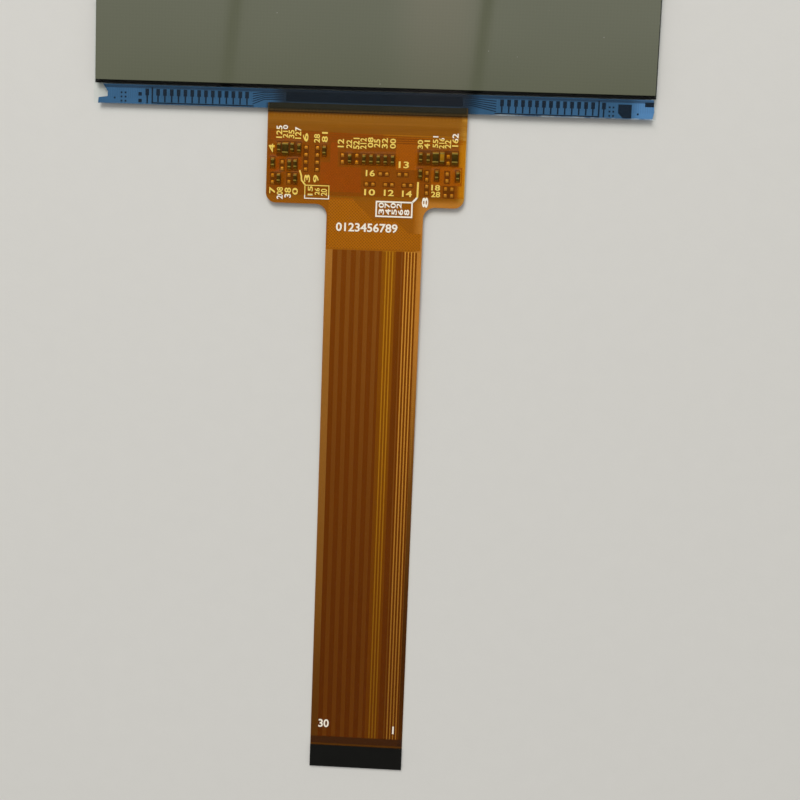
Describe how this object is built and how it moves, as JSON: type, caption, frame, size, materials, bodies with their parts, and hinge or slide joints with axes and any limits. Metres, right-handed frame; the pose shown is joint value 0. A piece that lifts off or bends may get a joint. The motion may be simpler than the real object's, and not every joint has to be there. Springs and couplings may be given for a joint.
{
  "type": "lcd panel with flex circuit",
  "caption": "Bare liquid crystal display cell lying display side down, with a driver chip on its glass ledge and a long amber flex circuit that ends in a stiffened contact strip.",
  "frame": {"origin": "centre of the display face, which is the outer face of the front polariser and the centre of the front glass", "axes": "+X along the ledge, +Y in the plane of the cell away from the flex tail, +Z from the display face towards the rear polariser"},
  "size_m": [0.0892, 0.1638, 0.0014],
  "materials": {
    "glass": "clear float glass with scribed edges",
    "rear_polariser": "olive-grey film, smooth with a soft sheen",
    "front_polariser": "dark grey film, fine matt anti-glare face",
    "sealant": "near-black cured sealant and light shield",
    "colour_filter": "dark grey colour layer",
    "liquid_crystal": "thin filling of the cell",
    "silicon": "dark grey polished silicon",
    "conductive_film": "cured adhesive with conductive grains",
    "ledge_metal": "thin dark metal on the glass",
    "blue_coat": "translucent blue coat",
    "base_film": "amber polyimide",
    "cover_film": "translucent amber cover film",
    "copper": "copper under amber film",
    "gold_plate": "thin gold over nickel",
    "tin": "tin-coated solder",
    "chip_capacitor": "tan ceramic with tinned ends",
    "chip_resistor": "black coated ceramic with tinned ends",
    "chip_inductor": "dark ferrite with tinned ends",
    "diode": "pale moulded body with tinned ends",
    "tape": "translucent amber tape",
    "stiffener": "black stiffener film"
  },
  "bodies": {
    "root": {"array_glass": "glass", "base_film": "base_film", "bond_fingers": "copper", "bottom_cover_film": "cover_film", "chip_bond": "conductive_film", "chip_capacitor_1": "chip_capacitor", "chip_capacitor_10": "chip_capacitor", "chip_capacitor_11": "chip_capacitor", "chip_capacitor_12": "chip_capacitor", "chip_capacitor_13": "chip_capacitor", "chip_capacitor_2": "chip_capacitor", "chip_capacitor_3": "chip_capacitor", "chip_capacitor_4": "chip_capacitor", "chip_capacitor_5": "chip_capacitor", "chip_capacitor_6": "chip_capacitor", "chip_capacitor_7": "chip_capacitor", "chip_capacitor_8": "chip_capacitor", "chip_capacitor_9": "chip_capacitor", "chip_inductor_1": "chip_inductor", "chip_inductor_2": "chip_inductor", "chip_inductor_3": "chip_inductor", "chip_resistor_1": "chip_resistor", "chip_resistor_2": "chip_resistor", "chip_resistor_3": "chip_resistor", "chip_resistor_4": "chip_resistor", "chip_resistor_5": "chip_resistor", "chip_resistor_6": "chip_resistor", "chip_resistor_7": "chip_resistor", "colour_filter": "colour_filter", "colour_filter_glass": "glass", "component_tape": "tape", "contact_fingers": "gold_plate", "contact_stiffener": "stiffener", "diode_1": "diode", "driver_chip": "silicon", "flex_bond": "conductive_film", "front_polariser": "front_polariser", "head_copper": "copper", "ledge_coat": "blue_coat", "ledge_pads": "ledge_metal", "ledge_tracks": "ledge_metal", "liquid_crystal": "liquid_crystal", "rear_polariser": "rear_polariser", "return_tracks": "copper", "seal_frame": "sealant", "solder_joints": "tin", "solder_pads": "tin", "tail_tracks": "copper", "top_cover_film": "cover_film"}
  },
  "joints": []
}
